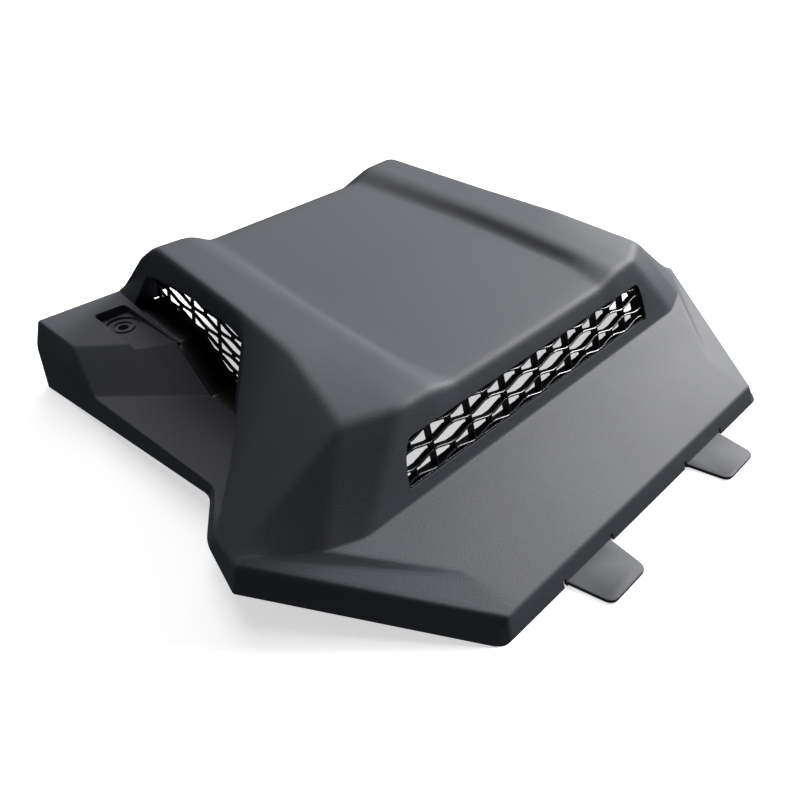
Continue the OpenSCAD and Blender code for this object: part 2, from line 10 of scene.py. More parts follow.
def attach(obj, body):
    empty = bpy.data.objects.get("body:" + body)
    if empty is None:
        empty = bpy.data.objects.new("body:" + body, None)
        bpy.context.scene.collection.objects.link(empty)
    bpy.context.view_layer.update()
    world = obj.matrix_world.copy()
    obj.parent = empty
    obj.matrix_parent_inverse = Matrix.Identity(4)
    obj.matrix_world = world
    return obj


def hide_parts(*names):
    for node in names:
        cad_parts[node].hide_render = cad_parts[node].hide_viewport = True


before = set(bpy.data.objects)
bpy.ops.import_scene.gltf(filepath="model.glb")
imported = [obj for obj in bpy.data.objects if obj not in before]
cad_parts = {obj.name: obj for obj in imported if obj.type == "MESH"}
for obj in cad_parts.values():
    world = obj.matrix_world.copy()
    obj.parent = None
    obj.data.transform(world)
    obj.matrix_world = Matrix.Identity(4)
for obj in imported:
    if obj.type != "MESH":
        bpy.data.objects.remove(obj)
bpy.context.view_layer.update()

bl_info = {
    "name": "Bonnet scoop",
    "version": (1, 0, 0),
    "blender": (4, 5, 0),
    "location": "3D View > Sidebar > Scoop",
    "description": "Moulded bonnet panel with a raised scoop and honeycomb grilles",
    "category": "Object",
}

MM = 0.001
PANEL_LENGTH = 627.0
TAB_LENGTH = 42.0
MIDDLE_Y = (PANEL_LENGTH - TAB_LENGTH) / 2


# Small helpers for points, in millimetres, with the front edge at y = 0


def mix(a, b, t):
    """The point or value a share of the way from one to another."""
    return a + (b - a) * t


def points(*rows):
    return [Vector(row) for row in rows]


def at_y(a, b, y):
    """Point of a line at a distance from the front edge."""
    return mix(a, b, (y - a.y) / (b.y - a.y))


def along(line, y):
    """Point of a line of points at a distance from the front edge."""
    k = 0
    while k < len(line) - 2 and y > line[k + 1].y:
        k += 1
    return at_y(line[k], line[k + 1], y)


def edge(up, low):
    """The folded rim's three corners in a row."""
    return [up, mix(up, low, 0.5), low]


def level(xs, y, z):
    """Corners at one distance from the front and one height."""
    return [Vector((x, y, z)) for x in xs]


# Corners of the panel's right-hand half

RIM_IN = 7.6
FRONT_LOW, FRONT_UP, FLARE_LOW, FLARE_UP, NOTCH_LOW, NOTCH_UP, SIDE_LOW, SIDE_UP = points(
    (240, 0, 0), (226.8, RIM_IN, 22), (372, 185, 33), (364, 188, 57),
    (350, 252, 30), (355, 231, 53), (307.5, 304, 25), (309, 291, 46))
REAR_LOW, REAR_UP, CREASE_TIP, WALL_END, CHEEK_LOW, ROOF_END, CHEEK_UP = points(
    (307.5, 627, 0), (299, 624, 88), (224, 60.5, 36.2), (264.8, 133, 55.7),
    (302, 145, 59), (192, 160, 143), (243, 184, 139))
SHOULDER = points((243, 184, 139), (214, 282, 158), (211, 313, 159.4), (207.5, 350, 161),
                  (190, 535, 168.8))
DECK = points((0, 157.5, 134.3), (0, 338, 146.8), (0, 530, 155.3))
FOOT = points((124, 158, 135), (139, 215, 138.8), (137, 338, 146.8), (116, 530, 155.3))
CREST = points((152, 158.6, 142), (151, 215, 149.5), (149, 345, 159), (142, 533.8, 168.4))
CREASE_A_OUT, CREASE_B_OUT = points((296, 554.5, 82), (308.3, 506, 43))
RIM = points((0, 375, 33), (0, 429, 32), (0, 493, 73), (0, 626, 84))
TOP = points((209, 356, 129), (204, 388, 135), (199.7, 430, 136), (194, 493, 135),
             (190.3, 540, 129.5), (187.8, 574, 120))
FOLD_Z = 57.0
HEM_Z = 62.0
SILL_X = 194.0
SILL_DRIFT = 0.0916
REAR_Y = 626.0


def rim(y):
    """Inner edge of the wing, under the side opening."""
    return Vector((SILL_X + SILL_DRIFT * (REAR_Y - y), y, along(RIM, y).z))


def low(y):
    """Foot of the panel's side."""
    return at_y(SIDE_LOW, REAR_LOW, y)


def ridge(y):
    """Corners from the middle of the roof to the ridge's outer edge."""
    crest, shoulder = along(CREST, y), along(SHOULDER, y)
    return [along(DECK, y), along(FOOT, y), crest, mix(crest, shoulder, 0.5), shoulder]


def panel_rows():
    """Rows of the outer surface from the front rim to the rear hem, each from the middle out."""
    into = FLARE_UP + 0.05 * (CHEEK_UP - FLARE_UP) + 0.05 * (CHEEK_LOW - FLARE_UP)
    turn = (NOTCH_UP - FLARE_UP).normalized() * 9
    turn_low = (NOTCH_LOW - FLARE_LOW).normalized() * 9
    after = FLARE_UP + 0.05 * (CHEEK_UP - FLARE_UP) + turn
    notch_in = mix(NOTCH_UP, SHOULDER[1], 0.05)
    half_up = mix(CHEEK_UP, SHOULDER[1], 0.38)
    half_in = mix(after, notch_in, 0.5)
    strip_up, strip_low = mix(FRONT_UP, FLARE_UP, 0.293), mix(FRONT_LOW, FLARE_LOW, 0.3)
    foot_a, foot_b = points((326, 259, 48), (273, 313, 41))
    mid_roof = mix(ROOF_END, mix(along(CREST, 282), SHOULDER[1], 0.5), 0.45)
    return [
        level([0, 120, 150, 185, 212, 217, 222, 229], 0, 0)
        + [Vector((237.5, 0.6, 0)), mix(FRONT_LOW, FLARE_LOW, 0.035)],
        level([0, 120, 150, 185, 210, 214, 218], RIM_IN, 22)
        + edge(FRONT_UP, mix(FRONT_LOW, FLARE_LOW, 0.07)),
        level([0, 122, 152, 195], CREASE_TIP.y, CREASE_TIP.z)
        + [CREASE_TIP, mix(CREASE_TIP, strip_up, 0.07), mix(CREASE_TIP, strip_up, 0.14)]
        + edge(strip_up, strip_low),
        level([0, 124, 152], WALL_END.y, WALL_END.z)
        + [WALL_END, CHEEK_LOW, mix(CHEEK_LOW, into, 0.3), into] + edge(FLARE_UP, FLARE_LOW),
        [DECK[0], FOOT[0], CREST[0], ROOF_END, CHEEK_UP, mix(CHEEK_UP, after, 0.25), after]
        + edge(FLARE_UP + turn, FLARE_LOW + turn_low),
        [along(DECK, 215), FOOT[1], CREST[1], mid_roof, half_up, mix(half_up, half_in, 0.25), half_in]
        + edge(mix(FLARE_UP + turn, NOTCH_UP, 0.5), mix(FLARE_LOW + turn_low, NOTCH_LOW, 0.5)),
        ridge(SHOULDER[1].y) + [mix(SHOULDER[1], notch_in, 0.25), notch_in]
        + edge(NOTCH_UP, NOTCH_LOW),
        ridge(SHOULDER[2].y) + [mix(SHOULDER[2], foot_a, 0.25), foot_a]
        + edge(mix(NOTCH_UP, SIDE_UP, 0.42), mix(NOTCH_LOW, SIDE_LOW, 0.45)),
        ridge(SHOULDER[3].y) + [mix(SHOULDER[3], foot_b, 0.25), foot_b] + edge(SIDE_UP, SIDE_LOW),
        ridge(372) + [TOP[0], rim(375)] + edge(at_y(SIDE_UP, CREASE_B_OUT, 360), low(368)),
        ridge(390) + [TOP[1], rim(392)] + edge(at_y(SIDE_UP, CREASE_B_OUT, 405), low(410)),
        ridge(429) + [TOP[2], rim(429)] + edge(CREASE_B_OUT, low(508)),
        ridge(493) + [TOP[3], rim(493), CREASE_A_OUT]
        + [Vector((307.5, 555.5, FOLD_Z)), low(556.5)],
        [DECK[2], FOOT[3], CREST[3], mix(CREST[3], SHOULDER[4], 0.5), SHOULDER[4], TOP[4], rim(536),
         at_y(CREASE_A_OUT, REAR_UP, 582), Vector((307.5, 583, FOLD_Z)), low(584)],
        points((0, 562, 133.3), (116, 562, 133.3), (142, 563, 142.3), (166, 564, 145.8),
               (191, 565, 146.8))
        + [TOP[5], rim(600), at_y(CREASE_A_OUT, REAR_UP, 606), Vector((307.5, 607, FOLD_Z)), low(608)],
        level([0, 116, 142, 166, 184, 189], PANEL_LENGTH, 84)
        + [rim(REAR_Y), REAR_UP, Vector((307.5, 626.5, FOLD_Z)), REAR_LOW],
        level([0, 116, 142, 166, 184, 189, 194, 282.5], PANEL_LENGTH, HEM_Z)
        + points((287.5, 627, HEM_Z / 2), (290.5, 627, 0)),
    ]


# How far each column and row of corners is rounded, 0 where an opening or a rim ends it
COLUMN_CUT = [0, 8, 12, 9, 7, 0, 0, 3, 8, 0]
ROW_CUT = [0, 3.5, 0, 2.5, 8, 14, 12, 10, 10, 8, 8, 3, 3, 12, 12, 4, 0]
OPEN_FRONT, OPEN_REAR, OPEN_COLUMN = 9, 14, 5


def pull(a, b, d):
    """Step from a corner towards its neighbour, less than half the way."""
    return (b - a) * min(0.42, d / max((b - a).length, 1e-6))


def rounded(line, cuts, parts, steps):
    """A line of corners as a run of points, with an arc at each corner, and where each corner went."""
    arcs = []
    for k, p in enumerate(line):
        if not cuts[k]:
            arcs.append([p])
            continue
        a, b = p + pull(p, line[k - 1], cuts[k]), p + pull(p, line[k + 1], cuts[k])
        arcs.append([mix(mix(a, p, s / steps), mix(p, b, s / steps), s / steps) for s in range(steps + 1)])
    out, marks = [], []
    for k, arc in enumerate(arcs):
        marks.append((len(out), len(out) + len(arc) - 1))
        out += arc
        if k + 1 < len(arcs):
            out += [mix(arc[-1], arcs[k + 1][0], j / parts[k]) for j in range(1, parts[k])]
    return out, marks


def spread(lines, cuts, reach, steps):
    """Every line rounded and divided alike, so that the lines still match point by point."""
    count = len(cuts)
    parts = [
        max(1, math.ceil(max((line[k + 1] - line[k]).length for line in lines) / reach))
        for k in range(count - 1)
    ]
    made = [rounded(line, cuts, parts, steps) for line in lines]
    return [m[0] for m in made], made[0][1]


def turned(grid):
    return [list(column) for column in zip(*grid)]


def place(p):
    """From millimetres with the front edge at y = 0 to the row's frame in metres."""
    return Vector((p[0], p[1] - MIDDLE_Y, p[2])) * MM


def new_mesh(name, verts, faces):
    mesh = bpy.data.meshes.new(name)
    mesh.from_pydata([tuple(v) for v in verts], [], faces)
    mesh.validate()
    return mesh


def new_object(name, mesh):
    obj = bpy.data.objects.new(name, mesh)
    bpy.context.scene.collection.objects.link(obj)
    return obj


def evaluated(obj):
    """Replaces an object's mesh by what its modifiers make of it."""
    graph = bpy.context.evaluated_depsgraph_get()
    mesh = bpy.data.meshes.new_from_object(obj.evaluated_get(graph))
    obj.modifiers.clear()
    old = obj.data
    obj.data = mesh
    bpy.data.meshes.remove(old)
    return obj


def prism(name, outline, low_z, high_z, matrix=None):
    """A closed prism on a plan outline, in millimetres."""
    n = len(outline)
    verts = [Vector((x, y, z)) for z in (low_z, high_z) for x, y in outline]
    if matrix is not None:
        verts = [matrix @ v for v in verts]
    faces = [list(range(n))[::-1], list(range(n, 2 * n))]
    faces += [[k, (k + 1) % n, n + (k + 1) % n, n + k] for k in range(n)]
    obj = new_object(name, new_mesh(name, [place(v) for v in verts], faces))
    face_out(obj.data)
    return obj


def face_out(mesh):
    """Turns every face outwards."""
    bm = bmesh.new()
    bm.from_mesh(mesh)
    bmesh.ops.recalc_face_normals(bm, faces=bm.faces)
    bm.to_mesh(mesh)
    bm.free()


def ring(x, y, r, n=48):
    return [(x + r * math.cos(2 * math.pi * k / n), y + r * math.sin(2 * math.pi * k / n)) for k in range(n)]


def rounded_plan(corners, radii, steps=6):
    """A plan outline with its corners rounded."""
    out = []
    n = len(corners)
    for k in range(n):
        p = Vector(corners[k])
        a = p + pull(p, Vector(corners[k - 1]), radii[k])
        b = p + pull(p, Vector(corners[(k + 1) % n]), radii[k])
        if radii[k] == 0:
            out.append(p)
            continue
        out += [mix(mix(a, p, s / steps), mix(p, b, s / steps), s / steps) for s in range(steps + 1)]
    return [(p.x, p.y) for p in out]


def bevel_all(obj, width, segments=2, angle=40):
    """Rounds the edges sharper than an angle."""
    mod = obj.modifiers.new("edge", "BEVEL")
    mod.width = width * MM
    mod.segments = segments
    mod.limit_method = "ANGLE"
    mod.angle_limit = math.radians(angle)
    mod.harden_normals = False
    return evaluated(obj)


def shade(obj, angle=32):
    """Smooth faces with sharp edges where the surface really turns."""
    bm = bmesh.new()
    bm.from_mesh(obj.data)
    limit = math.radians(angle)
    for face in bm.faces:
        face.smooth = True
    for e in bm.edges:
        e.smooth = len(e.link_faces) == 2 and e.calc_face_angle(0) < limit
    bm.to_mesh(obj.data)
    bm.free()
    return obj


def joined(objs, name):
    """Several objects as one."""
    bm = bmesh.new()
    for obj in objs:
        bm.from_mesh(obj.data)
    mesh = bpy.data.meshes.new(name)
    bm.to_mesh(mesh)
    bm.free()
    for obj in objs:
        bpy.data.objects.remove(obj)
    return new_object(name, mesh)


def mirrored(obj, name):
    """The same piece on the other side of the middle plane."""
    mesh = obj.data.copy()
    mesh.transform(Matrix.Scale(-1, 4, (1, 0, 0)))
    mesh.flip_normals()
    return new_object(name, mesh)


def cut(obj, other, kind):
    """Adds another object, or takes it away, and removes it."""
    mod = obj.modifiers.new("cut", "BOOLEAN")
    mod.operation = kind
    mod.solver = "EXACT"
    mod.use_self = kind == "UNION"
    mod.object = other
    evaluated(obj)
    bpy.data.objects.remove(other)
    return obj


# Frames: up the leaning front wall, and along the wing's inner edge

WALL_LEAN = math.atan2(DECK[0].y - WALL_END.y, DECK[0].z - WALL_END.z)
ON_WALL = Matrix.Translation((0, WALL_END.y, WALL_END.z)) @ Matrix.Rotation(math.pi / 2 - WALL_LEAN, 4, "X")
AT_RIM = Matrix.Translation((SILL_X, REAR_Y, 0)) @ Matrix.Rotation(math.atan(SILL_DRIFT), 4, "Z")
SIDEWAYS = AT_RIM @ Matrix(((0, 0, 1, 0), (1, 0, 0, 0), (0, 1, 0, 0), (0, 0, 0, 1)))


def rim_run(y):
    """Distance along the wing's inner edge from the rear, for a distance from the front."""
    return (y - REAR_Y) * math.hypot(1, SILL_DRIFT)


WINDOW_HALF, WINDOW_HIGH, WINDOW_FOOT = 206, 48, 13


def window(grow=0.0):
    """Outline of the front opening on the wall: x across, y up from the wall's foot."""
    w, h = WINDOW_HALF + grow, WINDOW_HIGH + 2 * grow
    right = [(w - 1.6, 0), (w, 4), (w - 1.6, h * 0.36), (w - 4, h * 0.62), (w - 8.3, h * 0.86),
             (w - 11.5, h * 0.96), (w - 16, h)]
    right = [(x, y + WINDOW_FOOT - grow) for x, y in right]
    return right + [(-x, y) for x, y in reversed(right)]


# The panel


def panel_sheet(sizes):
    """The outer surface as one sheet, with both side openings left out."""
    steps, reach = sizes.arc_steps, sizes.reach_mm
    lines, column_marks = spread(panel_rows(), COLUMN_CUT, reach, steps)
    columns, row_marks = spread(turned(lines), ROW_CUT, reach, steps)
    half = turned(columns)
    n = len(half[0])
    wide = 2 * n - 1
    verts = []
    for row in half:
        verts += [Vector((-p.x, p.y, p.z)) for p in row[:0:-1]] + row
    open_rows = range(row_marks[OPEN_FRONT][1], row_marks[OPEN_REAR][0])
    open_columns = range(column_marks[OPEN_COLUMN][1], column_marks[OPEN_COLUMN + 1][0])
    faces = []
    for r in range(len(half) - 1):
        for c in range(wide - 1):
            side = c - (n - 1) if c >= n - 1 else n - 2 - c
            if r in open_rows and side in open_columns:
                continue
            a = r * wide + c
            faces.append((a, a + 1, a + wide + 1, a + wide))
    mesh = new_mesh("panel_sheet", [place(v) for v in verts], faces)
    bm = bmesh.new()
    bm.from_mesh(mesh)
    bmesh.ops.remove_doubles(bm, verts=bm.verts, dist=0.02 * MM)
    loose = [v for v in bm.verts if not v.link_faces]
    bmesh.ops.delete(bm, geom=loose, context="VERTS")
    bm.to_mesh(mesh)
    bm.free()
    return new_object("scoop_panel_skin", mesh)


# Fastener pocket: its sides, back and floor, then the seat, the bore and the collar round it
POCKET_IN, POCKET_OUT, POCKET_BACK, POCKET_Z = 206.0, 247.0, 594.0, 72.0
SEAT_X, SEAT_Y, SEAT_R, SEAT_DEEP = 226.5, 568.0, 20.0, 2.5
BORE_R, COLLAR_OUT, COLLAR_IN = 6.0, 7.5, 4.5
UNDER_SEAT = 9.0


def crease_at(x):
    """Point of the wing's upper crease at a distance from the middle."""
    a = rim(RIM[2].y)
    return mix(a, CREASE_A_OUT, (x - a.x) / (CREASE_A_OUT.x - a.x))


def pocket_parts(wall):
    """What a fastener pocket adds under the wing, and what it takes away."""
    slope = (RIM[2].z - RIM[1].z) / (RIM[2].y - RIM[1].y)
    inner_x, outer_x, rear = POCKET_IN - wall, POCKET_OUT + wall, POCKET_BACK + 5
    front = [(x, crease_at(x).y - (crease_at(x).z - POCKET_Z) / slope + 0.5) for x in (inner_x, outer_x)]
    base = prism("pocket_base", front + [(outer_x, rear), (inner_x, rear)],
                 POCKET_Z - SEAT_DEEP - UNDER_SEAT, POCKET_Z - 0.01)
    plan = [(inner_x, crease_at(inner_x).y + 2), (POCKET_IN + 0.5, crease_at(POCKET_IN).y + 2),
            (POCKET_IN + 0.5, POCKET_BACK - 0.5), (POCKET_OUT - 0.5, POCKET_BACK - 0.5),
            (POCKET_OUT - 0.5, crease_at(POCKET_OUT).y + 2), (outer_x, crease_at(outer_x).y + 2),
            (outer_x, rear), (inner_x, rear)]
    n = len(plan)
    verts = [Vector((x, y, POCKET_Z - 2)) for x, y in plan]
    verts += [Vector((x, y, along(RIM, y).z - 0.8)) for x, y in plan]
    faces = [list(range(n))[::-1], list(range(n, 2 * n))]
    faces += [[k, (k + 1) % n, n + (k + 1) % n, n + k] for k in range(n)]
    walls = new_object("pocket_walls", new_mesh("pocket_walls", [place(v) for v in verts], faces))
    face_out(walls.data)
    hollow = rounded_plan([(POCKET_IN, 440), (POCKET_OUT, 440), (POCKET_OUT, POCKET_BACK),
                           (POCKET_IN, POCKET_BACK)], [0, 0, 6, 6])
    seat_z = POCKET_Z - SEAT_DEEP
    taken = [
        prism("pocket_hollow", hollow, POCKET_Z, 130),
        prism("pocket_seat", ring(SEAT_X, SEAT_Y, SEAT_R), seat_z, 100),
        prism("pocket_bore", ring(SEAT_X, SEAT_Y, BORE_R), 20, 100),
    ]
    collar = prism("pocket_collar", ring(SEAT_X, SEAT_Y, BORE_R + COLLAR_OUT), seat_z - 0.5, POCKET_Z - 0.6)
    hole = prism("collar_bore", ring(SEAT_X, SEAT_Y, BORE_R + COLLAR_IN), seat_z - 3, POCKET_Z + 3)
    collar = cut(bevel_all(collar, 0.5, 2, 50), hole, "DIFFERENCE")
    return [base, walls], taken, [collar]


RETURN_THICK = 3.0
RETURN_IN = 30.0
RETURN_DEEPER = 12.0


def rear_return():
    """Closes the rear end of a side opening, with a ledge under the end of the sill."""
    top, end_y = TOP[5], mix(535.0, REAR_Y, 0.714)
    end_z = along(RIM, end_y).z
    ledge = along(RIM, top.y - 2).z - SILL_DROP - SILL_THICK - 3.3
    inner_x = top.x - rim(top.y).x - 1.6
    pocket_x = POCKET_IN - rim(end_y).x - 1.5
    upper = bar(top.y + 3.2, top.z - 1.5, inner_x, 1)
    middle = bar(end_y + 1.5, end_z - 1.5, -1.6, 1, deeper=RETURN_DEEPER)
    foot = bar(end_y + 1.5, ledge, pocket_x, 2.5, deeper=RETURN_DEEPER)
    shelf = bar(top.y - 2, ledge, POCKET_IN - rim(top.y).x - 1, 2.5, end_y - top.y + 5)
    return [hull("return_upper", upper + middle), hull("return_foot", middle + foot),
            hull("return_ledge", shelf)]


def bar(y, z, x, high, long=RETURN_THICK, deeper=0.0):
    """Corners of a bar that runs inwards from the wing's edge."""
    return [AT_RIM @ Vector((px, rim_run(y) + dy, z + dz))
            for px in (-RETURN_IN - deeper, x) for dy in (0, long) for dz in (0, high)]


def hull(name, corners):
    """The convex solid round some corners."""
    bm = bmesh.new()
    for p in corners:
        bm.verts.new(place(p))
    made = bmesh.ops.convex_hull(bm, input=bm.verts)
    bmesh.ops.delete(bm, geom=[v for v in made["geom_interior"]], context="VERTS")
    mesh = bpy.data.meshes.new(name)
    bm.to_mesh(mesh)
    bm.free()
    face_out(mesh)
    return new_object(name, mesh)


TAB_NOTCHES, NOTCH_WIDE = (69.5, 147.5), 4.0


def tab_outline():
    """Plan of the right-hand front tab, narrower at its tip."""
    corners = [(74, 3.2), (82.5, -TAB_LENGTH), (139.5, -TAB_LENGTH), (147, 3.2)]
    return rounded_plan(corners, [0, 9, 9, 0], 7)


class SCOOP_PG_panel(bpy.types.PropertyGroup):
    wall_mm: bpy.props.FloatProperty(
        name="Wall", description="Thickness of the moulding in millimetres", default=3.5, min=2.5, max=4.5)
    arc_steps: bpy.props.IntProperty(
        name="Arc steps", description="Steps round each softened corner", default=4, min=2, max=8)
    reach_mm: bpy.props.FloatProperty(
        name="Reach", description="Longest face of the surface in millimetres", default=30, min=15, max=60)
    tab_mm: bpy.props.FloatProperty(
        name="Tab", description="Thickness of the front tabs in millimetres", default=4, min=3, max=5)


class SCOOP_OT_panel(bpy.types.Operator):
    """Build the moulded panel with its pockets, opening and tabs"""

    bl_idname = "scoop.panel"
    bl_label = "Scoop panel"

    def execute(self, context):
        sizes = context.scene.scoop_panel
        skin = panel_sheet(sizes)
        shell = skin.modifiers.new("wall", "SOLIDIFY")
        shell.thickness = sizes.wall_mm * MM
        shell.offset = -1
        shell.use_even_offset = False
        shell.use_quality_normals = True
        evaluated(skin)
        for v in skin.data.vertices:
            v.co.z = max(v.co.z, 0.0)
        added, taken, collars = pocket_parts(sizes.wall_mm)
        added += rear_return()
        tab = prism("tab", tab_outline(), 0.0, sizes.tab_mm)
        added.append(bevel_all(tab, 0.9, 2, 60))
        for x in TAB_NOTCHES:
            notch = [(x, -5), (x + NOTCH_WIDE, -5), (x + NOTCH_WIDE, 7), (x, 7)]
            taken.append(prism("tab_notch", notch, -1, 8))
        for group in (added, taken, collars):
            for obj in list(group):
                group.append(mirrored(obj, obj.name + "_left"))
        taken.append(prism("window", window(), -20, 20, ON_WALL))
        for obj in added:
            cut(skin, obj, "UNION")
        for obj in taken:
            cut(skin, obj, "DIFFERENCE")
        for obj in collars:
            cut(skin, obj, "UNION")
        skin.name = "scoop_panel_moulding"
        shade(skin, 30)
        skin.data.materials.clear()
        skin.data.materials.append(textured_plastic())
        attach(skin, "root")
        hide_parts("scoop_panel")
        return {"FINISHED"}


# The grilles: rib paths are drawn flat, clipped to the opening and swept by Geometry Nodes


def crossings(a, b, outline):
    """Parts of the straight path from a to b that lie inside an outline."""
    a, b = Vector(a), Vector(b)
    d = b - a
    cuts = [0.0, 1.0]
    for k in range(len(outline)):
        p, q = Vector(outline[k]), Vector(outline[(k + 1) % len(outline)])
        e = q - p
        den = d.x * e.y - d.y * e.x
        if abs(den) < 1e-9:
            continue
        t = ((p.x - a.x) * e.y - (p.y - a.y) * e.x) / den
        s = ((p.x - a.x) * d.y - (p.y - a.y) * d.x) / den
        if 0 < t < 1 and 0 <= s <= 1:
            cuts.append(t)
    cuts.sort()
    kept = []
    for t0, t1 in zip(cuts, cuts[1:]):
        if t1 - t0 > 1e-6 and inside(a + d * (t0 + t1) / 2, outline):
            kept.append((a + d * t0, a + d * t1))
    return kept


def inside(p, outline):
    """Whether a point lies inside an outline."""
    found = False
    for k in range(len(outline)):
        (x1, y1), (x2, y2) = outline[k], outline[(k + 1) % len(outline)]
        if (y1 > p.y) != (y2 > p.y) and p.x < x1 + (p.y - y1) / (y2 - y1) * (x2 - x1):
            found = not found
    return found


def honeycomb(pitch, step, swing, cells, rows, turn, centre, outline):
    """Centre lines of the ribs: rows of whole cells between rows of cells split at the nodes."""
    paths = []
    bend = 0.09
    for j in range(-rows, rows):
        s = 1 if abs(j) % 2 == 0 else -1
        mid = (j + 0.5) * step
        line = []
        for n in range(-cells, cells):
            line += [((n + bend) * pitch, mid - s * swing), ((n + 0.5 - bend) * pitch, mid + s * swing),
                     ((n + 0.5 + bend) * pitch, mid + s * swing), ((n + 1 - bend) * pitch, mid - s * swing)]
        paths += list(zip(line, line[1:]))
    for n in range(-cells, cells + 1):
        paths.append(((n * pitch, -rows * step), (n * pitch, rows * step)))
        for j in range(-rows + 1, rows):
            if abs(j) % 2 == 1 and n < cells:
                paths.append((((n + 0.5) * pitch, (j - 0.5) * step + swing),
                              ((n + 0.5) * pitch, (j + 0.5) * step - swing)))
    place_row = Matrix.Rotation(math.radians(turn), 2)
    kept = []
    for a, b in paths:
        p, q = place_row @ Vector(a) + Vector(centre), place_row @ Vector(b) + Vector(centre)
        kept += crossings(p, q, outline)
    return kept


def rib_tree():
    """Geometry Nodes: sweeps a rounded bar along each path, with its depth across the plane."""
    tree = bpy.data.node_groups.new("swept_ribs", "GeometryNodeTree")
    face = tree.interface
    face.new_socket("Geometry", in_out="INPUT", socket_type="NodeSocketGeometry")
    for name, default in (("Rib width", 0.002), ("Rib depth", 0.009), ("Edge radius", 0.0005)):
        socket = face.new_socket(name, in_out="INPUT", socket_type="NodeSocketFloat")
        socket.default_value = default
        socket.subtype = "DISTANCE"
    face.new_socket("Finish", in_out="INPUT", socket_type="NodeSocketMaterial")
    face.new_socket("Geometry", in_out="OUTPUT", socket_type="NodeSocketGeometry")
    given = node(tree, "NodeGroupInput")
    paths = node(tree, "GeometryNodeMeshToCurve", {"Mesh": given.outputs["Geometry"]})
    upright = node(tree, "GeometryNodeSetCurveNormal", {"Curve": paths.outputs[0]}, mode="Z_UP")
    bar = node(tree, "GeometryNodeCurvePrimitiveQuadrilateral",
               {"Width": given.outputs["Rib width"], "Height": given.outputs["Rib depth"]})
    bar_round = node(tree, "GeometryNodeFilletCurve",
                     {"Curve": bar.outputs[0], "Radius": given.outputs["Edge radius"]}, mode="BEZIER")
    swept = node(tree, "GeometryNodeCurveToMesh",
                 {"Curve": upright.outputs[0], "Profile Curve": bar_round.outputs[0], "Fill Caps": True})
    real = node(tree, "GeometryNodeRealizeInstances", {"Geometry": swept.outputs[0]})
    finish = node(tree, "GeometryNodeSetMaterial",
                  {"Geometry": real.outputs[0], "Material": given.outputs["Finish"]})
    out = node(tree, "NodeGroupOutput")
    tree.links.new(finish.outputs[0], out.inputs[0])
    return tree


def swept(name, paths, width, depth, radius, finish):
    """Ribs along straight paths in the plane z = 0, in metres."""
    verts, edges, seen = [], [], {}
    for path in paths:
        ends = []
        for p in path:
            key = (round(p[0], 2), round(p[1], 2))
            if key not in seen:
                seen[key] = len(verts)
                verts.append((p[0] * MM, p[1] * MM, 0.0))
            ends.append(seen[key])
        if ends[0] != ends[1]:
            edges.append(ends)
    mesh = bpy.data.meshes.new(name)
    mesh.from_pydata(verts, edges, [])
    obj = new_object(name, mesh)
    tree = bpy.data.node_groups.get("swept_ribs") or rib_tree()
    mod = obj.modifiers.new("ribs", "NODES")
    mod.node_group = tree
    wanted = {"Rib width": width * MM, "Rib depth": depth * MM, "Edge radius": radius * MM, "Finish": finish}
    for item in tree.interface.items_tree:
        if item.in_out == "INPUT" and item.name in wanted:
            mod[item.identifier] = wanted[item.name]
    return evaluated(obj)


def settle(obj, matrix, offset=0.0):
    """From a local plane in metres to the row's frame."""
    lift = Matrix.Translation((0, 0, offset * MM))
    scale = Matrix.Translation(matrix.translation * MM) @ matrix.to_3x3().to_4x4()
    obj.data.transform(Matrix.Translation((0, -MIDDLE_Y * MM, 0)) @ scale @ lift)
    return obj


class SCOOP_PG_grilles(bpy.types.PropertyGroup):
    pitch_mm: bpy.props.FloatProperty(
        name="Cell", description="Length of a large cell in millimetres", default=54.7, min=40, max=70)
    rib_mm: bpy.props.FloatProperty(
        name="Rib", description="Width of a rib in millimetres", default=2.2, min=1.5, max=3.5)
    depth_mm: bpy.props.FloatProperty(
        name="Front depth", description="Depth of the front ribs in millimetres", default=9, min=6, max=12)
    side_depth_mm: bpy.props.FloatProperty(
        name="Side depth", description="Depth of the side ribs in millimetres", default=4, min=3, max=8)


# Rows of cells: height of a row, swing of its ribs, cells and rows each way, turn, middle
FRONT_ROWS = (13.4, 2.2, 4, 2, 0, (0, 37))
SIDE_ROWS = (12.5, 1.7, 4, 6, 8.2, (rim_run(453), 87))
RIB_ROUND = 0.5
EAR_BACK, EAR_THICK, EAR_HALF = 17.5, 3.0, 8.0
SCREW_HOLE_R = 2.3
RECESS = 2.0
GRILLE_FIT = 0.3
LIP = 1.5
FRAME_FRONT = 5.0
WALL_SCREWS = [(-217, 27), (-120, 71.5), (0, 71.5), (120, 71.5), (217, 27)]
SIDE_SCREWS = [420, 510]
SIDE_SCREW_Z = 148.0
SIDE_IN = 32.0


def band(name, inner, outer, low_z, high_z):
    """A flat ring on the front wall between two outlines."""
    n = len(inner)
    verts = [Vector((x, y, z)) for z in (low_z, high_z) for x, y in inner + outer]
    faces = []
    for k in range(n):
        j = (k + 1) % n
        a, b, c, d = k, j, n + j, n + k
        faces += [(a, b, c, d), tuple(q + 2 * n for q in (d, c, b, a)),
                  (b, a, a + 2 * n, b + 2 * n), (d, c, c + 2 * n, d + 2 * n)]
    obj = new_object(name, new_mesh(name, [place(ON_WALL @ v) for v in verts], faces))
    face_out(obj.data)
    return obj


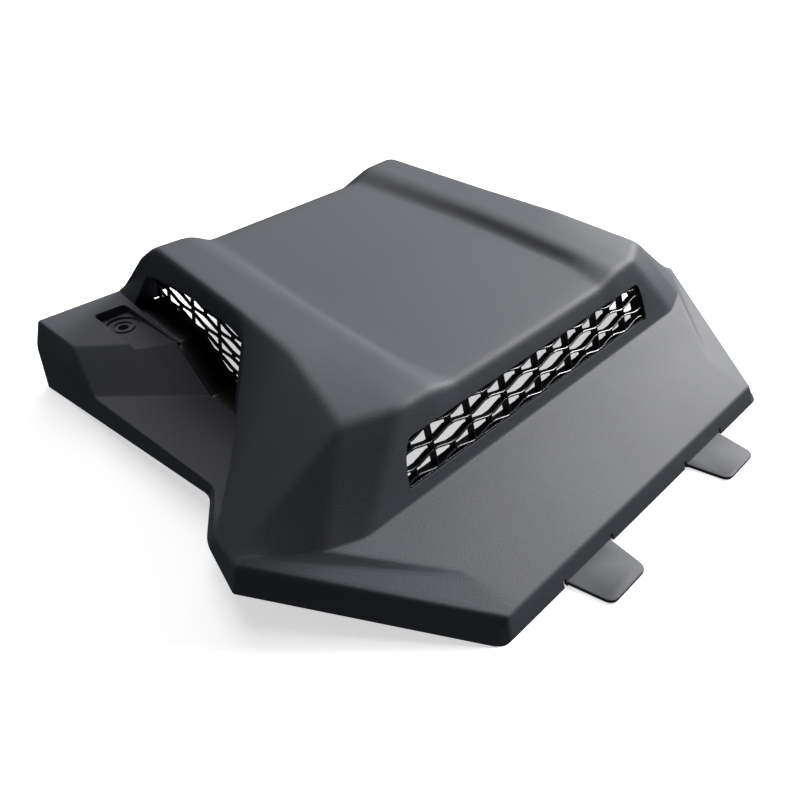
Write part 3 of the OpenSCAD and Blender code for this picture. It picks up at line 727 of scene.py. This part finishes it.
class SCOOP_OT_front_grille(bpy.types.Operator):
    """Build the honeycomb of the front opening with its frame and screw ears"""

    bl_idname = "scoop.front_grille"
    bl_label = "Front grille"

    def execute(self, context):
        sizes = context.scene.scoop_grilles
        finish = grille_plastic()
        paths = honeycomb(sizes.pitch_mm, *FRONT_ROWS, window(-GRILLE_FIT))
        ribs = swept("front_ribs", paths, sizes.rib_mm, sizes.depth_mm, RIB_ROUND, finish)
        settle(ribs, ON_WALL, -RECESS - sizes.depth_mm / 2)
        inside_line = window(-GRILLE_FIT - LIP)
        frame_parts = [
            bevel_all(band("front_lip", inside_line, window(-GRILLE_FIT), -EAR_BACK, -RECESS), 0.35),
            bevel_all(band("front_frame", inside_line, window(4), -EAR_BACK, -FRAME_FRONT), 0.4),
        ]
        ears = []
        for x, y in WALL_SCREWS:
            if y > WINDOW_FOOT + WINDOW_HIGH:
                lo_x, hi_x, lo_y, hi_y = x - EAR_HALF, x + EAR_HALF, WINDOW_FOOT + WINDOW_HIGH + 1, y + 5
            else:
                lo_x, hi_x = (204, 223) if x > 0 else (-223, -204)
                lo_y, hi_y = y - EAR_HALF, y + EAR_HALF
            plan = rounded_plan([(lo_x, lo_y), (hi_x, lo_y), (hi_x, hi_y), (lo_x, hi_y)], [2, 2, 2, 2], 3)
            ear = prism("ear", plan, -EAR_BACK, -EAR_BACK + EAR_THICK, ON_WALL)
            hole = prism("hole", ring(x, y, SCREW_HOLE_R, 24), -EAR_BACK - 5, -EAR_BACK + 8, ON_WALL)
            ears.append(cut(ear, hole, "DIFFERENCE"))
        grille = joined([ribs] + frame_parts + ears, "front_grille_honeycomb")
        finish_piece(grille, finish, "front_grille")
        return {"FINISHED"}


SILL_DROP, SILL_THICK, SILL_GAP = 2.0, 3.3, 1.5
SILL_START, SILL_STOP = 378, 586
TONGUE_START, TONGUE_STOP = 387, 488.5
SIDE_TOP = [(586, 100), (575, 119), (545, 133), (500, 139), (430, 140), (388, 139), (352, 127), (352, 95)]


def sill_profile(start, stop, drop):
    """The sill's line in the plane along the wing edge, with its creases slightly rounded."""
    ys = [start] + [p.y for p in RIM[1:3] if start < p.y < stop] + [stop]
    line = [Vector((rim_run(y), along(RIM, y).z - drop)) for y in ys]
    cuts = [0] + [2.5] * (len(line) - 2) + [0]
    return [(p.x, p.y) for p in rounded(line, cuts, [4] * (len(line) - 1), 4)[0]]


def slab(name, line, thick, x0, x1):
    """A plate that hangs from a line in the plane along the wing's edge."""
    outline = line + [(x, y - thick) for x, y in reversed(line)]
    return prism(name, outline, x0, x1, SIDEWAYS)


def side_outline():
    """Outline of a side grille: along the sill with its creases, then back over the top."""
    sill = [(rim_run(y), along(RIM, y).z - SILL_DROP) for y in (SILL_START, RIM[1].y, RIM[2].y, SILL_STOP)]
    return sill + [(rim_run(y), z) for y, z in SIDE_TOP]


def side_grille(sizes, finish):
    """The right-hand side grille: ribs, border, sill, tongue and screw ears."""
    outline = side_outline()
    n, depth = len(outline), sizes.side_depth_mm
    paths = honeycomb(sizes.pitch_mm, *SIDE_ROWS, outline)
    ribs = swept("side_ribs", paths, sizes.rib_mm, depth, RIB_ROUND, finish)
    border = [(Vector(outline[k]), Vector(outline[(k + 1) % n])) for k in range(n)]
    border = swept("side_border", border, 3.0, depth, RIB_ROUND, finish)
    for obj in (ribs, border):
        settle(obj, SIDEWAYS, -SIDE_IN - depth / 2)
    sill = slab("sill", sill_profile(SILL_START, SILL_STOP, SILL_DROP), SILL_THICK, -SIDE_IN - 1, -SILL_GAP)
    step = prism("pocket_step", [(202.1, 489), (240, 489), (240, 620), (202.1, 620)], 20, 160)
    cut(sill, step, "DIFFERENCE")
    tongue = slab("tongue", sill_profile(TONGUE_START, TONGUE_STOP, 8.5), 2.5, -8, 8)
    web = slab("web", sill_profile(TONGUE_START, TONGUE_STOP, 5.2), 6.5, -8, -5.5)
    ears = []
    for y in SIDE_SCREWS:
        x = rim_run(y)
        a, b = x - EAR_HALF, x + EAR_HALF
        plan = rounded_plan([(a, 135), (b, 135), (b, 154), (a, 154)], [0, 0, 3, 3], 3)
        ear = prism("ear", plan, -SIDE_IN - EAR_THICK, -SIDE_IN, SIDEWAYS)
        hole = prism("hole", ring(x, SIDE_SCREW_Z, SCREW_HOLE_R, 24), -SIDE_IN - 6, -SIDE_IN + 5, SIDEWAYS)
        ears.append(cut(ear, hole, "DIFFERENCE"))
    return joined([ribs, border, bevel_all(sill, 0.5, 2, 50), tongue, web] + ears, "side_grille")


class SCOOP_OT_side_grilles(bpy.types.Operator):
    """Build the honeycomb and sill of both side openings"""

    bl_idname = "scoop.side_grilles"
    bl_label = "Side grilles"

    def execute(self, context):
        finish = grille_plastic()
        right = side_grille(context.scene.scoop_grilles, finish)
        left = mirrored(right, "side_grille_left_honeycomb")
        right.name = "side_grille_right_honeycomb"
        finish_piece(right, finish, "side_grille_right")
        finish_piece(left, finish, "side_grille_left")
        return {"FINISHED"}


def finish_piece(obj, finish, replaced):
    """Gives a piece its shading, its one material and its place in the frame."""
    shade(obj, 35)
    obj.data.materials.clear()
    obj.data.materials.append(finish)
    for face in obj.data.polygons:
        face.material_index = 0
    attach(obj, "root")
    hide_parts(replaced)


# The screws, set out by Geometry Nodes on their seats


# Half profile of a screw, from the middle of its head to its tip: radius and height
SCREW = [(0.0, -2.6), (2.6, -2.6), (3.5, -2.2), (4.0, -1.3), (4.0, 0.0), (2.0, 0.0), (2.0, 11.2),
         (1.3, 12.0), (0.0, 12.0)]
SLOT_HALF, SLOT_WIDE, SLOT_FLOOR = 2.4, 0.5, -1.2


def screw_shape():
    """One pan-head screw with a cross recess, head down, in metres."""
    bm = bmesh.new()
    n = 24
    rings = []
    for r, z in SCREW:
        if r == 0:
            rings.append([bm.verts.new((0, 0, z * MM))])
        else:
            rings.append([bm.verts.new((r * math.cos(2 * math.pi * k / n) * MM,
                                        r * math.sin(2 * math.pi * k / n) * MM, z * MM)) for k in range(n)])
    for a, b in zip(rings, rings[1:]):
        for k in range(n):
            j = (k + 1) % n
            loop = [a[k % len(a)], a[j % len(a)], b[j % len(b)], b[k % len(b)]]
            unique = list(dict.fromkeys(loop))
            bm.faces.new(unique)
    bmesh.ops.recalc_face_normals(bm, faces=bm.faces)
    mesh = bpy.data.meshes.new("screw")
    bm.to_mesh(mesh)
    bm.free()
    screw = new_object("screw", mesh)
    corners = [Vector((x * SLOT_HALF, y * SLOT_WIDE, z)) * MM for z in (-4, SLOT_FLOOR)
               for x, y in ((-1, -1), (1, -1), (1, 1), (-1, 1))]
    sides = [(0, 3, 2, 1), (4, 5, 6, 7), (0, 1, 5, 4), (1, 2, 6, 5), (2, 3, 7, 6), (3, 0, 4, 7)]
    for turn in (0, math.pi / 2):
        slot = new_object("slot", new_mesh("slot", corners, sides))
        slot.data.transform(Matrix.Rotation(turn, 4, "Z"))
        cut(screw, slot, "DIFFERENCE")
    return screw


def screw_tree(screw):
    """Geometry Nodes: one screw on each point, turned to the points' common direction."""
    tree = bpy.data.node_groups.new("set_screws", "GeometryNodeTree")
    face = tree.interface
    face.new_socket("Geometry", in_out="INPUT", socket_type="NodeSocketGeometry")
    face.new_socket("Turn", in_out="INPUT", socket_type="NodeSocketRotation")
    face.new_socket("Finish", in_out="INPUT", socket_type="NodeSocketMaterial")
    face.new_socket("Geometry", in_out="OUTPUT", socket_type="NodeSocketGeometry")
    given = node(tree, "NodeGroupInput")
    source = node(tree, "GeometryNodeObjectInfo", {"Object": screw})
    seats = node(tree, "GeometryNodeInstanceOnPoints",
                 {"Points": given.outputs["Geometry"], "Instance": source.outputs["Geometry"],
                  "Rotation": given.outputs["Turn"]})
    real = node(tree, "GeometryNodeRealizeInstances", {"Geometry": seats.outputs[0]})
    finish = node(tree, "GeometryNodeSetMaterial",
                  {"Geometry": real.outputs[0], "Material": given.outputs["Finish"]})
    out = node(tree, "NodeGroupOutput")
    tree.links.new(finish.outputs[0], out.inputs[0])
    return tree


def set_screws(name, tree, seats, matrix, finish):
    """A screw on each seat of a plane, its head away from the plane's front."""
    mesh = bpy.data.meshes.new(name)
    mesh.from_pydata([tuple(place(matrix @ Vector(p))) for p in seats], [], [])
    obj = new_object(name, mesh)
    mod = obj.modifiers.new("screws", "NODES")
    mod.node_group = tree
    for item in tree.interface.items_tree:
        if item.in_out == "INPUT" and item.name == "Turn":
            mod[item.identifier] = tuple(matrix.to_3x3().to_euler())
        if item.in_out == "INPUT" and item.name == "Finish":
            mod[item.identifier] = finish
    return evaluated(obj)


class SCOOP_OT_screws(bpy.types.Operator):
    """Set the grille screws on their ears"""

    bl_idname = "scoop.screws"
    bl_label = "Grille screws"

    def execute(self, context):
        finish = zinc_steel()
        screw = screw_shape()
        tree = screw_tree(screw)
        seats = [(x, y, -EAR_BACK) for x, y in WALL_SCREWS]
        front = set_screws("front_screws", tree, seats, ON_WALL, finish)
        seats = [(rim_run(y), SIDE_SCREW_Z, -SIDE_IN - EAR_THICK) for y in SIDE_SCREWS]
        right = set_screws("side_screws_right", tree, seats, SIDEWAYS, finish)
        left = mirrored(right, "side_screws_left")
        finish_piece(front, finish, "front_grille_screws")
        finish_piece(right, finish, "side_grille_screws_right")
        finish_piece(left, finish, "side_grille_screws_left")
        bpy.data.objects.remove(screw)
        return {"FINISHED"}


# Finishes


def linear(code):
    """sRGB hex to a linear colour."""
    parts = [int(code[k:k + 2], 16) / 255 for k in (1, 3, 5)]
    return tuple(c / 12.92 if c <= 0.04045 else ((c + 0.055) / 1.055) ** 2.4 for c in parts) + (1.0,)


def node(tree, kind, inputs=None, **settings):
    """Adds a node with its settings, its values and its links."""
    made = tree.nodes.new(kind)
    for name, value in settings.items():
        setattr(made, name, value)
    for name, value in (inputs or {}).items():
        if isinstance(value, bpy.types.NodeSocket):
            tree.links.new(value, made.inputs[name])
        else:
            made.inputs[name].default_value = value
    return made


def finish_base(name):
    """A material by name, with its empty tree and its place in metres when it is new."""
    found = bpy.data.materials.get(name)
    if found:
        return found, None, None
    material = bpy.data.materials.new(name)
    material.use_nodes = True
    tree = material.node_tree
    tree.nodes.clear()
    where = node(tree, "ShaderNodeTexCoord").outputs["Object"]
    return material, tree, where


def finish_end(tree, shader):
    """Links the shader to the material's surface."""
    out = node(tree, "ShaderNodeOutputMaterial")
    tree.links.new(shader.outputs[0], out.inputs["Surface"])


def blend(tree, factor, a, b):
    """A colour between two, by a value from 0 to 1."""
    mixed = node(tree, "ShaderNodeMix", data_type="RGBA")
    tree.links.new(factor, mixed.inputs[0])
    mixed.inputs[6].default_value = linear(a)
    mixed.inputs[7].default_value = linear(b)
    return mixed.outputs[2]


def ranged(tree, value, low_out, high_out):
    """A value from 0 to 1 spread over another range."""
    spread_out = node(tree, "ShaderNodeMapRange", {"Value": value, "To Min": low_out, "To Max": high_out})
    return spread_out.outputs[0]


def textured_plastic():
    """Polypropylene, moulded with a fine spark-eroded grain: satin, with a soft wide sheen."""
    look = bpy.context.scene.scoop_finish
    material, tree, where = finish_base("polypropylene_moulded_grain")
    if tree is None:
        return material
    # Real grain is near 0.4 mm; it is drawn at 1.4 mm so that it shows.
    grain = node(tree, "ShaderNodeTexNoise", {"Vector": where, "Scale": 1 / (look.grain_mm * MM),
                                              "Detail": 2.0, "Roughness": 0.6}).outputs[0]
    cloud = node(tree, "ShaderNodeTexNoise", {"Vector": where, "Scale": 9.0, "Detail": 3.0}).outputs[0]
    bump = node(tree, "ShaderNodeBump", {"Height": grain, "Strength": 0.6, "Distance": 0.3 * MM})
    shader = node(tree, "ShaderNodeBsdfPrincipled", {
        "Base Color": blend(tree, ranged(tree, cloud, 0.2, 0.8), "#424349", "#494a50"),
        "Roughness": ranged(tree, cloud, 0.56, 0.64), "IOR": 1.49, "Specular IOR Level": 0.4,
        "Normal": bump.outputs[0]})
    finish_end(tree, shader)
    return material


def grille_plastic():
    """ABS, moulded smooth and black: satin gloss with faint flow marks."""
    material, tree, where = finish_base("abs_moulded_black")
    if tree is None:
        return material
    flow = node(tree, "ShaderNodeTexNoise", {"Vector": where, "Scale": 40.0, "Detail": 2.0}).outputs[0]
    bump = node(tree, "ShaderNodeBump", {"Height": flow, "Strength": 0.08, "Distance": 0.1 * MM})
    shader = node(tree, "ShaderNodeBsdfPrincipled", {
        "Base Color": blend(tree, flow, "#09090b", "#101014"),
        "Roughness": ranged(tree, flow, 0.26, 0.36), "IOR": 1.52, "Normal": bump.outputs[0]})
    finish_end(tree, shader)
    return material


def zinc_steel():
    """Steel, cold headed and zinc plated: bright, with a slightly mottled plating."""
    material, tree, where = finish_base("steel_zinc_plated")
    if tree is None:
        return material
    plating = node(tree, "ShaderNodeTexNoise", {"Vector": where, "Scale": 700.0, "Detail": 2.0}).outputs[0]
    shader = node(tree, "ShaderNodeBsdfPrincipled", {
        "Base Color": blend(tree, plating, "#a5a8ae", "#c3c6ca"), "Metallic": 1.0,
        "Roughness": ranged(tree, plating, 0.28, 0.42)})
    finish_end(tree, shader)
    return material


def opal_acrylic():
    """Opal acrylic sheet of a light table: matte, nearly white and faintly lit from below."""
    material, tree, where = finish_base("opal_acrylic_backlit")
    if tree is None:
        return material
    roll = node(tree, "ShaderNodeTexNoise", {"Vector": where, "Scale": 3.0, "Detail": 1.0}).outputs[0]
    shader = node(tree, "ShaderNodeBsdfPrincipled", {
        "Base Color": blend(tree, roll, "#f4f4f4", "#f8f8f8"), "Roughness": 0.9,
        "Specular IOR Level": 0.1, "Emission Color": linear("#ffffff"), "Emission Strength": 0.6})
    finish_end(tree, shader)
    return material


class SCOOP_PG_finish(bpy.types.PropertyGroup):
    grain_mm: bpy.props.FloatProperty(
        name="Grain", description="Width of the moulded grain in millimetres", default=1.4, min=0.4, max=3)


# The stage: floor, lights and the camera at the photograph's angle


class SCOOP_PG_stage(bpy.types.PropertyGroup):
    azimuth: bpy.props.FloatProperty(
        name="Azimuth", description="Camera's turn about the vertical", default=math.radians(-47),
        subtype="ANGLE", unit="ROTATION")
    elevation: bpy.props.FloatProperty(
        name="Elevation", description="Camera's height angle", default=math.radians(36),
        subtype="ANGLE", unit="ROTATION")
    key_watts: bpy.props.FloatProperty(
        name="Key light", description="Power of the soft light at the right", default=470, min=0)
    sheen_watts: bpy.props.FloatProperty(
        name="Sheen light", description="Power of the large light behind, mirrored in the roof", default=19,
        min=0)
    top_watts: bpy.props.FloatProperty(
        name="Top light", description="Power of the weak light overhead", default=28, min=0)


# Places of the lights and the camera, in metres, and the sizes of the lights
KEY_FROM, KEY_AT, KEY_SIZE = Vector((0.84, -0.14, 0.52)) * 5.0, (0, 0, 0.1), (2.8, 1.2)
SHEEN_FROM, SHEEN_AT, SHEEN_SIZE = Vector((0.60, 0.50, 0.63)) * 2.8, (0, 0, 0.1), (2.4, 1.8)
TOP_FROM, TOP_AT, TOP_SIZE = Vector((0.06, 0.42, 0.90)) * 2.8, (-0.1, 0, 0.1), (1.8, 1.8)
CAMERA_PLACE = (-0.6264, -0.2424 - MIDDLE_Y * MM, 0.5796)
SENSOR_MM, FOCAL_PIXELS, PICTURE_PIXELS = 36, 850, 800
FLOOR_RADIUS = 14
ROOM_LIGHT = 0.11


def soft_light(name, place_at, target, size, watts):
    """A rectangular lamp that faces a point."""
    data = bpy.data.lights.new(name, "AREA")
    data.shape = "RECTANGLE"
    data.size, data.size_y = size
    data.energy = watts
    lamp = bpy.data.objects.new(name, data)
    bpy.context.scene.collection.objects.link(lamp)
    lamp.location = place_at
    lamp.rotation_euler = (Vector(target) - Vector(place_at)).to_track_quat("-Z", "Y").to_euler()
    return lamp


class SCOOP_OT_stage(bpy.types.Operator):
    """Set up the floor, the lights and the camera"""

    bl_idname = "scoop.stage"
    bl_label = "Studio stage"

    def execute(self, context):
        look = context.scene.scoop_stage
        bm = bmesh.new()
        bmesh.ops.create_circle(bm, cap_ends=True, segments=96, radius=FLOOR_RADIUS)
        mesh = bpy.data.meshes.new("studio_floor")
        bm.to_mesh(mesh)
        bm.free()
        floor = new_object("studio_floor", mesh)
        floor.data.materials.append(opal_acrylic())
        floor.visible_glossy = False
        floor.visible_diffuse = False
        a, e = look.azimuth, look.elevation
        ahead = Vector((-math.sin(a) * math.cos(e), math.cos(a) * math.cos(e), -math.sin(e)))
        data = bpy.data.cameras.new("camera")
        data.sensor_width = SENSOR_MM
        data.lens = SENSOR_MM * FOCAL_PIXELS / PICTURE_PIXELS
        data.clip_end = 60
        camera = bpy.data.objects.new("camera", data)
        context.scene.collection.objects.link(camera)
        camera.location = CAMERA_PLACE
        camera.rotation_euler = ahead.to_track_quat("-Z", "Y").to_euler()
        context.scene.camera = camera
        soft_light("key_light", KEY_FROM, KEY_AT, KEY_SIZE, look.key_watts)
        soft_light("sheen_light", SHEEN_FROM, SHEEN_AT, SHEEN_SIZE, look.sheen_watts)
        soft_light("top_light", TOP_FROM, TOP_AT, TOP_SIZE, look.top_watts)
        world = bpy.data.worlds.new("studio")
        context.scene.world = world
        world.use_nodes = True
        sky = world.node_tree.nodes["Background"]
        sky.inputs["Color"].default_value = linear("#e3e8f4")
        sky.inputs["Strength"].default_value = ROOM_LIGHT
        context.scene.view_settings.view_transform = "Standard"
        return {"FINISHED"}


class SCOOP_PT_tools(bpy.types.Panel):
    """Buttons for each piece of the scoop"""

    bl_idname = "SCOOP_PT_tools"
    bl_label = "Bonnet scoop"
    bl_space_type = "VIEW_3D"
    bl_region_type = "UI"
    bl_category = "Scoop"

    def draw(self, context):
        for operator in OPERATORS:
            self.layout.operator(operator.bl_idname)
        for group in (context.scene.scoop_panel, context.scene.scoop_grilles, context.scene.scoop_finish,
                      context.scene.scoop_stage):
            box = self.layout.box()
            for name in group.bl_rna.properties.keys():
                if name not in ("rna_type", "name"):
                    box.prop(group, name)


GROUPS = {
    "scoop_panel": SCOOP_PG_panel,
    "scoop_grilles": SCOOP_PG_grilles,
    "scoop_finish": SCOOP_PG_finish,
    "scoop_stage": SCOOP_PG_stage,
}
OPERATORS = (SCOOP_OT_stage, SCOOP_OT_panel, SCOOP_OT_front_grille, SCOOP_OT_side_grilles, SCOOP_OT_screws)


def register():
    for group in GROUPS.values():
        bpy.utils.register_class(group)
    for name, group in GROUPS.items():
        setattr(bpy.types.Scene, name, bpy.props.PointerProperty(type=group))
    for operator in OPERATORS:
        bpy.utils.register_class(operator)
    bpy.utils.register_class(SCOOP_PT_tools)


def unregister():
    bpy.utils.unregister_class(SCOOP_PT_tools)
    for operator in reversed(OPERATORS):
        bpy.utils.unregister_class(operator)
    for name, group in GROUPS.items():
        delattr(bpy.types.Scene, name)
        bpy.utils.unregister_class(group)


def main():
    register()
    bpy.ops.scoop.stage()
    bpy.ops.scoop.panel()
    bpy.ops.scoop.front_grille()
    bpy.ops.scoop.side_grilles()
    bpy.ops.scoop.screws()


if __name__ == "__main__":
    main()
